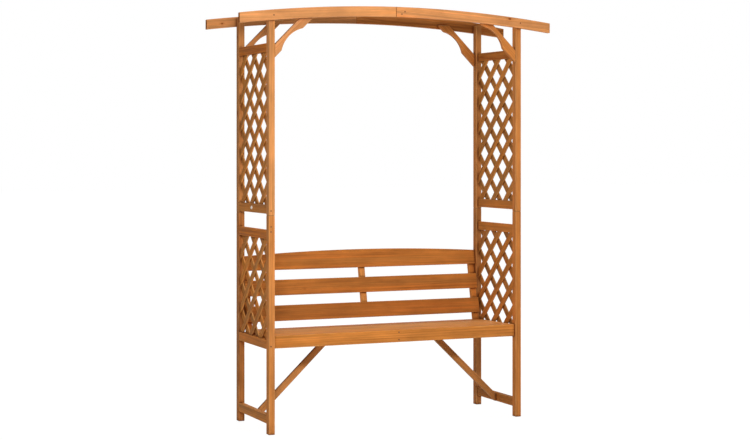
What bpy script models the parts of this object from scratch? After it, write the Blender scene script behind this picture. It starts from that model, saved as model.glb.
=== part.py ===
"""Garden arbor bench in stained softwood.

Two trellis side frames on four two-piece posts carry a pair of arched beams.
A slatted seat with a leaning three-slat back hangs between them.
Metres, +Z up, origin on the floor below the middle of the frame, +Y to the rear.
"""
import math

import bmesh
import bpy
from mathutils import Matrix, Vector

# Whole frame
FRAME_WIDTH = 1.324
FRAME_DEPTH = 0.461
CROWN_HEIGHT = 2.000
FIT = 0.0003
EASED_EDGE = 0.0015
CUT_OVERRUN = 0.004

# Posts and the dowels between their two lengths
POST_WIDTH = 0.030
POST_DEPTH = 0.036
POST_SEAM_HEIGHT = 1.0145
POST_SETDOWN = 0.008
DOWEL_DIAMETER = 0.010
DOWEL_LENGTH = 0.060
DOWEL_SIDES = 24

# Side frames
RAIL_HEIGHT = 0.042
RAIL_SETBACK = 0.001
TRELLIS_RAIL_THICKNESS = 0.019
STRETCHER_THICKNESS = 0.024
STRETCHER_BOTTOM = 0.048
SEAT_RAIL_DROP = 0.063
LOWER_TRELLIS_DROP = 0.0675
UPPER_TRELLIS_RISE = 0.0075
UPPER_TRELLIS_DROP = 0.1432

# Lattice of two crossing layers of slats
LATTICE_SLAT_WIDTH = 0.027
LATTICE_SLAT_THICKNESS = 0.006
LATTICE_BITE = 0.001
LATTICE_PITCH = 0.1303
LATTICE_INSET = 0.0007
LATTICE_SETBACK = 0.003
LOWER_OPENING_RISE = 0.236
UPPER_OPENING_RISE = 0.357
LATTICE_SHORTEST_SLAT = 0.030

# Arched beams, each of two lengths joined by a half lap
BEAM_LENGTH = 1.624
BEAM_HEIGHT = 0.048
BEAM_THICKNESS = 0.024
BEAM_TOP_RADIUS = 6.500
BEAM_ARC_STEPS = 20
BEAM_LAP_LENGTH = 0.052

# Scooped braces between posts and beams
BRACE_WIDTH = 0.043
BRACE_THICKNESS = 0.021
BRACE_DROP = 0.1740
BRACE_LAP = 0.022
SCOOP_START = 0.047
SCOOP_LENGTH = 0.150
SCOOP_DEPTH = 0.022
SCOOP_STEPS = 14

# Seat
SEAT_HEIGHT = 0.456
SEAT_DEPTH = 0.380
SEAT_DROP = 0.0085
SEAT_SETBACK = 0.012
SEAT_SLAT_COUNT = 4
SEAT_SLAT_THICKNESS = 0.0155
SEAT_SLAT_GAP = 0.004
SEAT_END_GAP = 0.0005
APRON_HEIGHT = 0.0585
APRON_THICKNESS = 0.018
BEARER_THICKNESS = 0.018
MID_BEARER_REACH = 0.270

# Braces between the side stretchers and the seat
LEG_BRACE_HEIGHT = 0.0305
LEG_BRACE_THICKNESS = 0.018
LEG_BRACE_FORWARD = 0.014
LEG_BRACE_FOOT_DROP = 0.004

# Back
BACK_LEAN = math.radians(11.3)
STILE_WIDTH = 0.030
STILE_DEPTH = 0.022
STILE_COVER = 0.062
CENTRE_STILE_COVER = 0.064
BACK_SLAT_THICKNESS = 0.016
BACK_SLAT_HEIGHT = 0.076
BACK_SLAT_GAP = 0.0495
BACK_SLAT_START = 0.049
TOP_SLAT_END_HEIGHT = 0.071
TOP_SLAT_RISE = 0.0205
TOP_SLAT_ARC_STEPS = 18

# Stain tones, linear RGB
BEAM_TONE = (0.62, 0.28, 0.09)
POST_TONE = (0.55, 0.22, 0.065)
RAIL_TONE = (0.40, 0.15, 0.040)
LATTICE_TONE = (0.36, 0.14, 0.038)
SEAT_TONE = (0.52, 0.21, 0.062)
DOWEL_TONE = (0.60, 0.45, 0.28)
WOOD_ROUGHNESS = 0.55

# Places that follow from the sizes above
SIDES = (("left", -1), ("right", 1))
ENDS = (("front", -1), ("rear", 1))
HALF_WIDTH = FRAME_WIDTH / 2
HALF_DEPTH = FRAME_DEPTH / 2
POST_INNER = HALF_WIDTH - POST_WIDTH
CLEAR_DEPTH = FRAME_DEPTH - 2 * POST_DEPTH
SEAT_RAIL_THICKNESS = POST_WIDTH - RAIL_SETBACK
STRETCHER_INNER = HALF_WIDTH - RAIL_SETBACK - STRETCHER_THICKNESS
STRETCHER_TOP = STRETCHER_BOTTOM + RAIL_HEIGHT
SEAT_RAIL_BOTTOM = SEAT_HEIGHT - SEAT_RAIL_DROP
LOWER_TRELLIS_TOP = POST_SEAM_HEIGHT - LOWER_TRELLIS_DROP
UPPER_TRELLIS_BOTTOM = POST_SEAM_HEIGHT + UPPER_TRELLIS_RISE
SEAT_FRONT = SEAT_SETBACK - HALF_DEPTH
SEAT_SLOPE = math.asin(SEAT_DROP / SEAT_DEPTH)
APRON_BOTTOM = SEAT_HEIGHT - APRON_HEIGHT


def beam_top(x):
    """Height of the beam's upper edge at the distance x from the middle."""
    return CROWN_HEIGHT - BEAM_TOP_RADIUS + math.sqrt(BEAM_TOP_RADIUS ** 2 - x ** 2)


def beam_bottom(x):
    """Height of the beam's lower edge, an arc about the same centre."""
    inner_radius = BEAM_TOP_RADIUS - BEAM_HEIGHT
    return CROWN_HEIGHT - BEAM_TOP_RADIUS + math.sqrt(inner_radius ** 2 - x ** 2)


POST_TOP = beam_top(HALF_WIDTH) - POST_SETDOWN
UPPER_TRELLIS_TOP = POST_TOP - UPPER_TRELLIS_DROP
BRACE_FOOT_HEIGHT = beam_bottom(POST_INNER) - BRACE_DROP


def clear_scene():
    for item in list(bpy.data.objects):
        bpy.data.objects.remove(item, do_unlink=True)


def wood(name, tone):
    material = bpy.data.materials.new(name)
    material.use_nodes = True
    shader = material.node_tree.nodes["Principled BSDF"]
    shader.inputs["Base Color"].default_value = (*tone, 1.0)
    shader.inputs["Roughness"].default_value = WOOD_ROUGHNESS
    shader.inputs["Metallic"].default_value = 0.0
    return material


def ease_edges(bm):
    """Take the arris off every sharp edge."""
    sharp = [edge for edge in bm.edges
             if len(edge.link_faces) == 2 and edge.calc_face_angle() > math.radians(25)]
    bmesh.ops.bevel(bm, geom=sharp, offset=EASED_EDGE, offset_type="OFFSET", segments=1,
                    profile=0.5, affect="EDGES", clamp_overlap=True)


def add_object(name, bm, tone, parent=None, location=(0, 0, 0), rotation=(0, 0, 0)):
    bmesh.ops.recalc_face_normals(bm, faces=bm.faces[:])
    mesh = bpy.data.meshes.new(name)
    bm.to_mesh(mesh)
    bm.free()
    item = bpy.data.objects.new(name, mesh)
    bpy.context.collection.objects.link(item)
    mesh.materials.append(wood(name, tone))
    item.parent = parent
    item.location = location
    item.rotation_euler = rotation
    return item


def add_empty(name, location, rotation=(0, 0, 0)):
    empty = bpy.data.objects.new(name, None)
    bpy.context.collection.objects.link(empty)
    empty.location = location
    empty.rotation_euler = rotation
    return empty


def box_mesh(low, high):
    """A box between two opposite corners."""
    bm = bmesh.new()
    bmesh.ops.create_cube(bm, size=1)
    low, high = Vector(low), Vector(high)
    size = high - low
    bmesh.ops.transform(bm, matrix=Matrix.Translation((low + high) / 2) @ Matrix.Diagonal((*size, 1)),
                        verts=bm.verts)
    return bm


def prism_mesh(outline, axis, low, high):
    """Extrude a closed outline along X or Y; its points hold the other two coordinates."""
    bm = bmesh.new()
    if axis == "X":
        verts = [bm.verts.new((low, a, b)) for a, b in outline]
        travel = Vector((high - low, 0, 0))
    else:
        verts = [bm.verts.new((a, low, b)) for a, b in outline]
        travel = Vector((0, high - low, 0))
    face = bm.faces.new(verts)
    grown = bmesh.ops.extrude_face_region(bm, geom=[face])
    moved = [item for item in grown["geom"] if isinstance(item, bmesh.types.BMVert)]
    bmesh.ops.translate(bm, vec=travel, verts=moved)
    return bm


def add_board(name, low, high, tone, parent=None):
    """A straight board whose object origin lies at its own centre."""
    low, high = Vector(low), Vector(high)
    centre = (low + high) / 2
    bm = box_mesh(low - centre, high - centre)
    ease_edges(bm)
    return add_object(name, bm, tone, parent=parent, location=centre)


def cylinder_mesh(radius, low, high):
    bm = bmesh.new()
    bmesh.ops.create_cone(bm, cap_ends=True, segments=DOWEL_SIDES, radius1=radius, radius2=radius,
                          depth=high - low)
    bmesh.ops.translate(bm, vec=(0, 0, (low + high) / 2), verts=bm.verts)
    return bm


def add_cutter(name, bm, location=(0, 0, 0), rotation=(0, 0, 0)):
    cutter = add_object(name, bm, DOWEL_TONE, location=location, rotation=rotation)
    cutter.hide_render = True
    cutter.display_type = "WIRE"
    return cutter


def cut_with(item, cutter):
    modifier = item.modifiers.new("cut", "BOOLEAN")
    modifier.operation = "DIFFERENCE"
    modifier.solver = "EXACT"
    modifier.object = cutter


def shade_round(item):
    item.data.shade_smooth()
    item.data.set_sharp_from_angle(angle=math.radians(40))


# Posts
def add_posts():
    bore_radius = DOWEL_DIAMETER / 2 + FIT
    bore_depth = DOWEL_LENGTH / 2 + FIT
    for end, back in ENDS:
        for side, out in SIDES:
            x = out * (HALF_WIDTH - POST_WIDTH / 2)
            y = back * (HALF_DEPTH - POST_DEPTH / 2)
            place = f"{end}_{side}"
            lower = add_board(f"lower_post_{place}",
                              (x - POST_WIDTH / 2, y - POST_DEPTH / 2, 0),
                              (x + POST_WIDTH / 2, y + POST_DEPTH / 2, POST_SEAM_HEIGHT), POST_TONE)
            upper = add_board(f"upper_post_{place}",
                              (x - POST_WIDTH / 2, y - POST_DEPTH / 2, POST_SEAM_HEIGHT + FIT),
                              (x + POST_WIDTH / 2, y + POST_DEPTH / 2, POST_TOP), POST_TONE)
            bore = add_cutter(f"bore_{place}", cylinder_mesh(bore_radius, -bore_depth, bore_depth),
                              location=(x, y, POST_SEAM_HEIGHT))
            cut_with(lower, bore)
            cut_with(upper, bore)
            dowel = add_object(f"post_dowel_{place}",
                               cylinder_mesh(DOWEL_DIAMETER / 2, -DOWEL_LENGTH / 2, DOWEL_LENGTH / 2),
                               DOWEL_TONE, location=(x, y, POST_SEAM_HEIGHT))
            shade_round(dowel)


# Side rails
def add_side_rail(name, out, thickness, bottom):
    outer = HALF_WIDTH - RAIL_SETBACK
    inner = outer - thickness
    reach = CLEAR_DEPTH / 2 - FIT
    near, far = sorted((out * outer, out * inner))
    add_board(name, (near, -reach, bottom), (far, reach, bottom + RAIL_HEIGHT), RAIL_TONE)


def add_side_rails():
    for side, out in SIDES:
        add_side_rail(f"side_stretcher_{side}", out, STRETCHER_THICKNESS, STRETCHER_BOTTOM)
        add_side_rail(f"seat_rail_{side}", out, SEAT_RAIL_THICKNESS, SEAT_RAIL_BOTTOM)
        add_side_rail(f"lower_trellis_top_rail_{side}", out, TRELLIS_RAIL_THICKNESS,
                      LOWER_TRELLIS_TOP - RAIL_HEIGHT)
        add_side_rail(f"upper_trellis_bottom_rail_{side}", out, TRELLIS_RAIL_THICKNESS,
                      UPPER_TRELLIS_BOTTOM)
        add_side_rail(f"upper_trellis_top_rail_{side}", out, TRELLIS_RAIL_THICKNESS,
                      UPPER_TRELLIS_TOP - RAIL_HEIGHT)


# Lattice panels
def clip_outline(points, normal, limit):
    """Keep the part of a convex outline where normal . point <= limit."""
    kept = []
    for here, after in zip(points, points[1:] + points[:1]):
        d_here = normal.dot(here) - limit
        d_after = normal.dot(after) - limit
        if d_here <= 0:
            kept.append(here)
        if (d_here < 0 < d_after) or (d_after < 0 < d_here):
            kept.append(here.lerp(after, d_here / (d_here - d_after)))
    return kept


def lattice_slat_outlines(half_depth, bottom, top, opening, rise):
    """Outlines of one layer of slats round a known opening, cut off at the edges of the panel."""
    along = Vector((1, rise)).normalized()
    across = Vector((-along.y, along.x))
    spacing = LATTICE_PITCH * abs(along.x)
    panel = [Vector((-half_depth, bottom)), Vector((half_depth, bottom)),
             Vector((half_depth, top)), Vector((-half_depth, top))]
    origin = across.dot(Vector(opening) + Vector((0, LATTICE_PITCH / 2)))
    reaches = [across.dot(corner) - origin for corner in panel]
    first = math.floor(min(reaches) / spacing)
    last = math.ceil(max(reaches) / spacing)
    outlines = []
    for index in range(first, last + 1):
        middle = origin + index * spacing
        outline = clip_outline(panel, across, middle + LATTICE_SLAT_WIDTH / 2)
        outline = clip_outline(outline, -across, LATTICE_SLAT_WIDTH / 2 - middle)
        if len(outline) < 3:
            continue
        spans = [along.dot(point) for point in outline]
        if max(spans) - min(spans) > LATTICE_SHORTEST_SLAT + LATTICE_SLAT_WIDTH:
            outlines.append(outline)
    return outlines


def lattice_layer_mesh(outlines, low, high):
    layer = bmesh.new()
    for outline in outlines:
        slat = prism_mesh([tuple(point) for point in outline], "X", low, high)
        slat_mesh = bpy.data.meshes.new("slat")
        slat.to_mesh(slat_mesh)
        slat.free()
        layer.from_mesh(slat_mesh)
        bpy.data.meshes.remove(slat_mesh)
    return layer


def add_lattice(name, out, bottom, top, opening_rise):
    half_depth = CLEAR_DEPTH / 2 - FIT
    inner_face = HALF_WIDTH - RAIL_SETBACK - TRELLIS_RAIL_THICKNESS + LATTICE_INSET
    middle = out * (inner_face + LATTICE_SLAT_THICKNESS - LATTICE_BITE / 2)
    low, high = bottom + FIT, top - FIT
    opening = (out * LATTICE_SETBACK, bottom + opening_rise)
    rising = lattice_slat_outlines(half_depth, low, high, opening, 1)
    falling = lattice_slat_outlines(half_depth, low, high, opening, -1)
    bite = LATTICE_BITE / 2
    inner_layer = lattice_layer_mesh(falling, -LATTICE_SLAT_THICKNESS + bite, bite)
    outer_layer = lattice_layer_mesh(rising, -bite, LATTICE_SLAT_THICKNESS - bite)
    turn = (0, 0, 0) if out > 0 else (0, 0, math.pi)
    panel = add_object(name, inner_layer, LATTICE_TONE, location=(middle, 0, 0), rotation=turn)
    other = add_cutter(f"{name}_layer", outer_layer, location=(middle, 0, 0), rotation=turn)
    modifier = panel.modifiers.new("layers", "BOOLEAN")
    modifier.operation = "UNION"
    modifier.solver = "EXACT"
    modifier.object = other


def add_lattices():
    for side, out in SIDES:
        add_lattice(f"lower_lattice_{side}", out, SEAT_RAIL_BOTTOM + RAIL_HEIGHT,
                    LOWER_TRELLIS_TOP - RAIL_HEIGHT, LOWER_OPENING_RISE)
        add_lattice(f"upper_lattice_{side}", out, UPPER_TRELLIS_BOTTOM + RAIL_HEIGHT,
                    UPPER_TRELLIS_TOP - RAIL_HEIGHT, UPPER_OPENING_RISE)


# Arched beams
def beam_half_mesh(out):
    """Half a front beam: a full arched board whose lap tongue runs past the middle."""
    start = -out * BEAM_LAP_LENGTH / 2
    stop = out * BEAM_LENGTH / 2
    stations = [start + (stop - start) * step / BEAM_ARC_STEPS for step in range(BEAM_ARC_STEPS + 1)]
    upper = [(x, beam_top(x)) for x in stations]
    lower = [(x, beam_bottom(x)) for x in reversed(stations)]
    bm = prism_mesh(upper + lower, "Y", 0, BEAM_THICKNESS)
    ease_edges(bm)
    return bm


def add_beam(end, turn):
    """A beam stands against the outer faces of its two posts; the rear one is turned about.

    Seen from its own front, the left half keeps the rear of the lap and the right half its front.
    """
    place = Matrix.Rotation(turn, 4, "Z") @ Vector((0, -HALF_DEPTH - FIT - BEAM_THICKNESS, 0))
    half_lap = BEAM_LAP_LENGTH / 2
    seam = (BEAM_THICKNESS - FIT) / 2
    kept = {-1: (-CUT_OVERRUN, seam + FIT), 1: (seam, BEAM_THICKNESS + CUT_OVERRUN)}
    for out in (-1, 1):
        side = "left" if out * math.cos(turn) < 0 else "right"
        half = add_object(f"{end}_beam_{side}_half", beam_half_mesh(out), BEAM_TONE,
                          location=place, rotation=(0, 0, turn))
        left, right = sorted((-out * (half_lap + CUT_OVERRUN), out * (half_lap + FIT)))
        front, rear = kept[out]
        waste = box_mesh((left, front, beam_bottom(BEAM_LENGTH / 2)),
                         (right, rear, CROWN_HEIGHT + CUT_OVERRUN))
        cut_with(half, add_cutter(f"{end}_lap_{side}", waste, location=place, rotation=(0, 0, turn)))


def add_beams():
    add_beam("front", 0)
    add_beam("rear", math.pi)


# Corner braces
def corner_brace_outline(out, swapped_ends):
    """Side view of a brace at 45 degrees, with a round scoop in its lower edge."""
    foot_x = POST_INNER - FIT
    foot = Vector((foot_x, BRACE_FOOT_HEIGHT))
    slant = Vector((-1, 1)).normalized()
    inward = Vector((1, 1)).normalized()
    rise = BRACE_WIDTH / slant.y
    middle_x = foot_x + BRACE_FOOT_HEIGHT + rise / 2 - beam_bottom(POST_INNER)
    top = beam_bottom(middle_x) + BRACE_LAP
    head_low = foot + slant * (top - BRACE_FOOT_HEIGHT) / slant.y
    head_high = head_low + Vector((rise, 0))
    scoop_middle = SCOOP_START + SCOOP_LENGTH / 2
    if swapped_ends:
        scoop_middle = (head_low - foot).length - scoop_middle
    radius = (SCOOP_LENGTH ** 2 / 4 + SCOOP_DEPTH ** 2) / (2 * SCOOP_DEPTH)
    centre = foot + slant * scoop_middle - inward * (radius - SCOOP_DEPTH)
    half_angle = math.asin(SCOOP_LENGTH / 2 / radius)
    scoop = []
    for step in range(SCOOP_STEPS + 1):
        angle = half_angle * (2 * step / SCOOP_STEPS - 1)
        scoop.append(centre + (inward * math.cos(angle) + slant * math.sin(angle)) * radius)
    outline = [foot, *scoop, head_low, head_high, foot + Vector((0, rise))]
    return [(out * point.x, point.y) for point in outline]


def add_corner_braces():
    """Both right braces stand with their ends swapped, their scoops near the beam."""
    for end, back in ENDS:
        face = back * HALF_DEPTH
        near, far = sorted((face, face - back * BRACE_THICKNESS))
        for side, out in SIDES:
            bm = prism_mesh(corner_brace_outline(out, swapped_ends=out > 0), "Y", near, far)
            ease_edges(bm)
            add_object(f"{end}_corner_brace_{side}", bm, BEAM_TONE)


# Seat
def seat_underside(y):
    """Height of the lower face of the seat slats at the depth y."""
    drop = (y - SEAT_FRONT) * math.tan(SEAT_SLOPE)
    return SEAT_HEIGHT - drop - SEAT_SLAT_THICKNESS / math.cos(SEAT_SLOPE)


SEAT_REAR = SEAT_FRONT + SEAT_DEPTH * math.cos(SEAT_SLOPE) - SEAT_SLAT_THICKNESS * math.sin(SEAT_SLOPE)
BACK_ORIGIN = (0, SEAT_REAR + FIT, seat_underside(SEAT_REAR))
REAR_APRON_TOP = -(APRON_THICKNESS * (math.sin(BACK_LEAN) - math.cos(BACK_LEAN) * math.tan(SEAT_SLOPE))
                   + 2 * FIT) / math.cos(BACK_LEAN)
REAR_APRON_BOTTOM = -(BACK_ORIGIN[2] - APRON_BOTTOM) / math.cos(BACK_LEAN)


def rear_apron_front(z):
    """Depth of the leaning rear apron's front face at the height z."""
    lean = (z - BACK_ORIGIN[2]) * math.tan(BACK_LEAN)
    return BACK_ORIGIN[1] + lean - (APRON_THICKNESS + FIT) / math.cos(BACK_LEAN)


def add_seat_slats():
    plane = add_empty("seat_plane", (0, SEAT_FRONT, SEAT_HEIGHT), (-SEAT_SLOPE, 0, 0))
    reach = POST_INNER - SEAT_END_GAP
    room = SEAT_DEPTH - APRON_THICKNESS - SEAT_SLAT_COUNT * SEAT_SLAT_GAP
    width = room / SEAT_SLAT_COUNT
    for index in range(SEAT_SLAT_COUNT):
        start = APRON_THICKNESS + SEAT_SLAT_GAP + index * (width + SEAT_SLAT_GAP)
        add_board(f"seat_slat_{index + 1}", (-reach, start, -SEAT_SLAT_THICKNESS),
                  (reach, start + width, 0), SEAT_TONE, parent=plane)


def add_aprons(back_frame):
    reach = POST_INNER - FIT
    add_board("front_apron", (-reach, SEAT_FRONT, APRON_BOTTOM),
              (reach, SEAT_FRONT + APRON_THICKNESS, SEAT_HEIGHT), SEAT_TONE)
    add_board("rear_apron", (-reach, -APRON_THICKNESS - FIT, REAR_APRON_BOTTOM),
              (reach, -FIT, REAR_APRON_TOP), SEAT_TONE, parent=back_frame)


def bearer_outline():
    """Side view of a bearer: level below, sloped above, cut to the leaning rear apron."""
    front = SEAT_FRONT + APRON_THICKNESS + FIT
    rear_low = rear_apron_front(APRON_BOTTOM) - FIT
    rear_high_z = seat_underside(rear_low) - FIT
    rear_high = rear_apron_front(rear_high_z) - FIT
    return [(front, APRON_BOTTOM), (rear_low, APRON_BOTTOM),
            (rear_high, seat_underside(rear_high) - FIT), (front, seat_underside(front) - FIT)]


def add_bearers():
    end_outer = POST_INNER - FIT
    middles = {
        "left_end": -end_outer + BEARER_THICKNESS / 2,
        "left_middle": -MID_BEARER_REACH + BEARER_THICKNESS / 2,
        "centre": 0,
        "right_middle": MID_BEARER_REACH - BEARER_THICKNESS / 2,
        "right_end": end_outer - BEARER_THICKNESS / 2,
    }
    for place, x in middles.items():
        bm = prism_mesh(bearer_outline(), "X", -BEARER_THICKNESS / 2, BEARER_THICKNESS / 2)
        ease_edges(bm)
        add_object(f"seat_bearer_{place}", bm, RAIL_TONE, location=(x, 0, 0))


# Leg braces
def leg_brace_outline():
    """Side view of a brace from the stretcher to the middle bearer, its foot cut level below."""
    foot_x = STRETCHER_INNER - FIT
    foot_z = STRETCHER_TOP - LEG_BRACE_FOOT_DROP
    head_x = MID_BEARER_REACH + FIT
    head_z = seat_underside(-LEG_BRACE_FORWARD + LEG_BRACE_THICKNESS) - FIT
    rate = (head_z - foot_z) / (foot_x - head_x)
    cut = LEG_BRACE_HEIGHT * math.sqrt(1 + rate ** 2)
    toe_x = foot_x - (STRETCHER_BOTTOM - foot_z + cut) / rate
    return [(foot_x, STRETCHER_BOTTOM), (foot_x, foot_z), (head_x, head_z),
            (head_x, head_z - cut), (toe_x, STRETCHER_BOTTOM)]


def add_leg_braces():
    for side, out in SIDES:
        outline = [(out * x, z) for x, z in leg_brace_outline()]
        bm = prism_mesh(outline, "Y", -LEG_BRACE_FORWARD, -LEG_BRACE_FORWARD + LEG_BRACE_THICKNESS)
        ease_edges(bm)
        add_object(f"leg_brace_{side}", bm, RAIL_TONE)


# Back
def top_slat_mesh(reach):
    """The top slat, whose upper edge is a shallow arc."""
    bottom = -TOP_SLAT_END_HEIGHT / 2
    radius = (reach ** 2 + TOP_SLAT_RISE ** 2) / (2 * TOP_SLAT_RISE)
    outline = [(-reach, bottom), (reach, bottom)]
    for step in range(TOP_SLAT_ARC_STEPS + 1):
        x = reach - 2 * reach * step / TOP_SLAT_ARC_STEPS
        rise = math.sqrt(radius ** 2 - x ** 2) - radius + TOP_SLAT_RISE
        outline.append((x, bottom + TOP_SLAT_END_HEIGHT + rise))
    bm = prism_mesh(outline, "Y", -BACK_SLAT_THICKNESS / 2, BACK_SLAT_THICKNESS / 2)
    ease_edges(bm)
    return bm


def add_back(back_frame):
    """Slats on the fronts of three stiles; the middle stile starts behind the bottom slat."""
    reach = POST_INNER - SEAT_END_GAP
    front = -BACK_SLAT_THICKNESS - FIT
    pitch = BACK_SLAT_HEIGHT + BACK_SLAT_GAP
    for name, low in (("bottom", BACK_SLAT_START), ("middle", BACK_SLAT_START + pitch)):
        add_board(f"back_slat_{name}", (-reach, front, low), (reach, -FIT, low + BACK_SLAT_HEIGHT),
                  SEAT_TONE, parent=back_frame)
    top_low = BACK_SLAT_START + 2 * pitch
    add_object("back_slat_top", top_slat_mesh(reach), SEAT_TONE, parent=back_frame,
               location=(0, front + BACK_SLAT_THICKNESS / 2, top_low + TOP_SLAT_END_HEIGHT / 2))
    stile_x = POST_INNER - FIT - STILE_WIDTH / 2
    centre_foot = BACK_SLAT_START + BACK_SLAT_HEIGHT - CENTRE_STILE_COVER
    for place, x, foot in (("left", -stile_x, REAR_APRON_BOTTOM), ("centre", 0, centre_foot),
                           ("right", stile_x, REAR_APRON_BOTTOM)):
        add_board(f"back_stile_{place}", (x - STILE_WIDTH / 2, 0, foot),
                  (x + STILE_WIDTH / 2, STILE_DEPTH, top_low + STILE_COVER), SEAT_TONE, parent=back_frame)


def build():
    clear_scene()
    add_posts()
    add_side_rails()
    add_lattices()
    add_beams()
    add_corner_braces()
    back_frame = add_empty("back_frame", BACK_ORIGIN, (-BACK_LEAN, 0, 0))
    add_seat_slats()
    add_aprons(back_frame)
    add_bearers()
    add_leg_braces()
    add_back(back_frame)
    bpy.context.view_layer.update()


build()
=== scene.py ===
import math
import random

import bmesh
import bpy
from mathutils import Matrix, Vector, noise


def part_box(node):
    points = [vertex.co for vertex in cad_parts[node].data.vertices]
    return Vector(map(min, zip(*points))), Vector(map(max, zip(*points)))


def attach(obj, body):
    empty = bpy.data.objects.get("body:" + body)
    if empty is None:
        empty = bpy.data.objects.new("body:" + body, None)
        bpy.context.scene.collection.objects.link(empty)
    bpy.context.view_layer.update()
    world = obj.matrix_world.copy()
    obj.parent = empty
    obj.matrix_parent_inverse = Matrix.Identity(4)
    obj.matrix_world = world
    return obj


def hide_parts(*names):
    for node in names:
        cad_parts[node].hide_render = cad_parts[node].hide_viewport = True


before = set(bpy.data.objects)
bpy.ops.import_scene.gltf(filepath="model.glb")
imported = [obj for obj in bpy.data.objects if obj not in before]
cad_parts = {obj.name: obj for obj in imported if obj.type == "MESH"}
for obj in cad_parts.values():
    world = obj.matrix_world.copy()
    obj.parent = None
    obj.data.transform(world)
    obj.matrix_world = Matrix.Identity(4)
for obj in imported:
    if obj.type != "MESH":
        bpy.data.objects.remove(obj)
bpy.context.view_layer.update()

# Without a seed of its own this noise starts from the clock
WANDER_SEED = 31
noise.seed_set(WANDER_SEED)

# The bench's two sides, and which way each lies from its middle
SIDES = (("left", -1), ("right", 1))

# Sizes in metres, as the bench was built
HALF_WIDTH = 0.662
HALF_DEPTH = 0.2305
POST_WIDTH = 0.030
POST_INNER = HALF_WIDTH - POST_WIDTH
BEAM_THICKNESS = 0.0243
BEAM_FACE = HALF_DEPTH + BEAM_THICKNESS
BEAM_RADIUS = 6.5
CROWN = 2.0
BACK_LEAN = math.radians(11.3)
BEAM_GRAIN_SLOPE = 0.068
LEG_BRACE_GRAIN = (0.362, 0.34)

# How a finished board differs from a sawn one
SOFTENED_EDGE = 0.00055
CONVEX_EDGE = math.radians(30)
STATION_SPACING = 0.075
WANDER = 0.00028
WANDER_REACH = 3.2
NARROW_FACE = 0.0031
END_FACING = 0.6
EVEN_FACES_WEIGHT = 80
# How far up and sideways a brace's face turns before it gets painted shade
BRACE_SHADED_FACING = 0.5
# How far round each point the painted shade where boards meet looks
CORNER_SHADE_REACH = 0.016

# Points this close are one point, faces this flat are one face, and slivers this thin are dissolved
SAME_POINT = 1e-6
SAME_PLANE = math.radians(0.1)
SLIVER = 2e-5

# Where in its log a board was sawn, and how far its own tone strays
PITH_AWAY = (0.05, 0.13)
ALONG_LOG = (2, 40)
GRAIN_LEAN = 0.014
BOARD_SPREAD = 0.04
SLAT_SPREAD = 0.12

# Where the beam halves meet near the crown, and how their ends are eased
LAP_REACH = 0.05
LAP_LEAST_HEIGHT = 0.02
LAP_LEAST_DEPTH = 0.001
LAP_EASING = 0.0012
SEAM_REACH = 0.03
SEAM_FACING = 0.2
SEAM_DEPTH = 0.003

# Beam halves that aren't a plain arc: outer ends that dropped, and top edges that are fuller at the post
SETTLED_ENDS = {"front_beam_right_half": 0.0038}
FULLER_TOPS = {"rear_beam_right_half": 0.0070}
FULLER_BEGINS = (0.34, 0.60)
FULLER_ENDS = (0.69, 0.80)
TOP_EDGE_BAND = 0.01

# Countersunk wood screws with a cross recess, and their bores
BORE_RADIUS = 0.0042
BORE_DEPTH = 0.0034
BORE_MARGIN = 0.0008
BORE_REACH = 0.02
CUTTER_PROUD = 0.0005
PILOT_RADIUS = 0.0021
HEAD_RADIUS = 0.0035
HEAD_DEPTH = 0.0024
HEAD_SUNK = 0.0006
HEAD_RIM = 0.00025
SHANK_SHARE = 0.8
RECESS_TIP = 0.0008
RECESS_MOUTH = 0.0030
RECESS_DEPTH = 0.0022
RECESS_NARROWING = 0.34
ROUND_STEPS = 20

# Lattice slats
SLAT_WIDTH = 0.0314
SLAT_THICKNESS = 0.0065
SLAT_PITCH = 0.1303
SLAT_SLANT = math.radians(45)
SLAT_EDGE = 0.0012
SLAT_SHORTEST = 0.030
SLAT_FEWEST_POINTS = 6
SLAT_SAME_POINT = 1e-7
SAWN_SIDES = 0.75
SAWN_SIDE_FACING = 0.5
LATTICE_SETBACK = 0.003
LATTICE_MIDDLE = 0.6490
LATTICE_HALF_DEPTH = 0.1942
OPENING_RISES = {"lower": 0.236, "upper": 0.357}
LATTICE_SPANS = {"lower": (0.4353, 0.9047), "upper": (1.0643, 1.7727)}

# Pins at the lattice's crossings
LATTICE_PIN_RADIUS = 0.0016
LATTICE_PIN_PROUD = 0.00035
LATTICE_PIN_STEPS = 10
LATTICE_PIN_SLIP = 0.002
LATTICE_PIN_INSET = 0.012
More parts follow.
